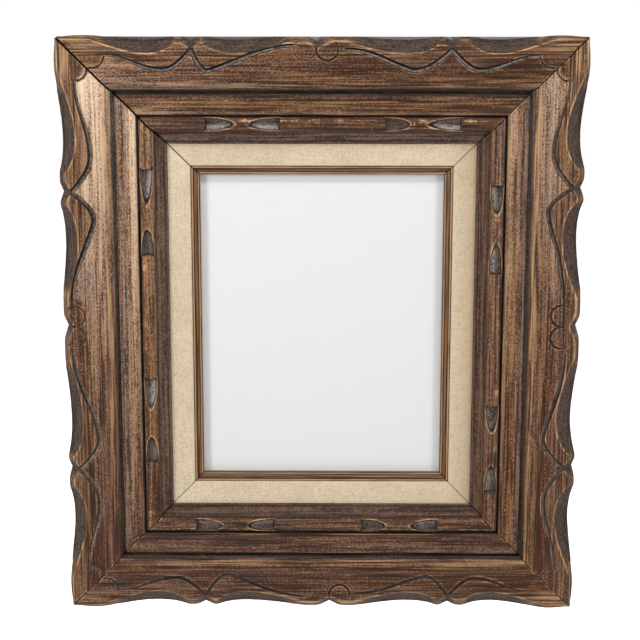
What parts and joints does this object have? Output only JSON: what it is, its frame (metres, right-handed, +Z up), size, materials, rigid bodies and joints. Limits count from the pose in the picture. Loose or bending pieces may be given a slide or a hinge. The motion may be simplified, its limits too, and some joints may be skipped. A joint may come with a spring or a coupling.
{
  "type": "picture frame",
  "caption": "Wall-hung wooden picture frame with carved mitred rails, a linen-covered liner and a small fillet round an open rebate for an 8 x 10 in picture.",
  "frame": {"origin": "middle of the opening, on the plane of the rails' backs, which lies against the wall", "axes": "+Z up the wall, -Y out of the wall towards the viewer, +X to the viewer's right"},
  "size_m": [0.404, 0.0395, 0.4548],
  "materials": {
    "carved_wood": "dark stain worn to gold brown on the edges, low sheen",
    "liner_wood": "bare softwood",
    "linen": "plain-woven natural linen, glued down",
    "fillet_wood": "brown stain with gold-coloured lines",
    "nail_steel": "plain steel",
    "hanger_steel": "zinc plated",
    "screw_steel": "yellow zinc plated"
  },
  "bodies": {
    "frame": {"rail_top": "carved_wood", "rail_right": "carved_wood", "rail_bottom": "carved_wood", "rail_left": "carved_wood", "liner_top": "liner_wood", "liner_right": "liner_wood", "liner_bottom": "liner_wood", "liner_left": "liner_wood", "linen_top": "linen", "linen_right": "linen", "linen_bottom": "linen", "linen_left": "linen", "fillet_top": "fillet_wood", "fillet_right": "fillet_wood", "fillet_bottom": "fillet_wood", "fillet_left": "fillet_wood", "rail_v_nails": "nail_steel", "liner_v_nails": "nail_steel", "glazier_points": "nail_steel", "hanger_strap_left": "hanger_steel", "hanger_strap_right": "hanger_steel", "hanger_screws": "screw_steel"},
    "ring_left": {"d_ring_left": "hanger_steel"},
    "ring_right": {"d_ring_right": "hanger_steel"}
  },
  "joints": [
    {"name": "d_ring_left_swing", "type": "hinge", "parent": "frame", "child": "ring_left", "pos_m": [-0.163, 0.0021, 0.0815], "axis": [1, 0, 0], "range_deg": [0, 173]},
    {"name": "d_ring_right_swing", "type": "hinge", "parent": "frame", "child": "ring_right", "pos_m": [0.163, 0.0021, 0.0815], "axis": [1, 0, 0], "range_deg": [0, 173]}
  ]
}
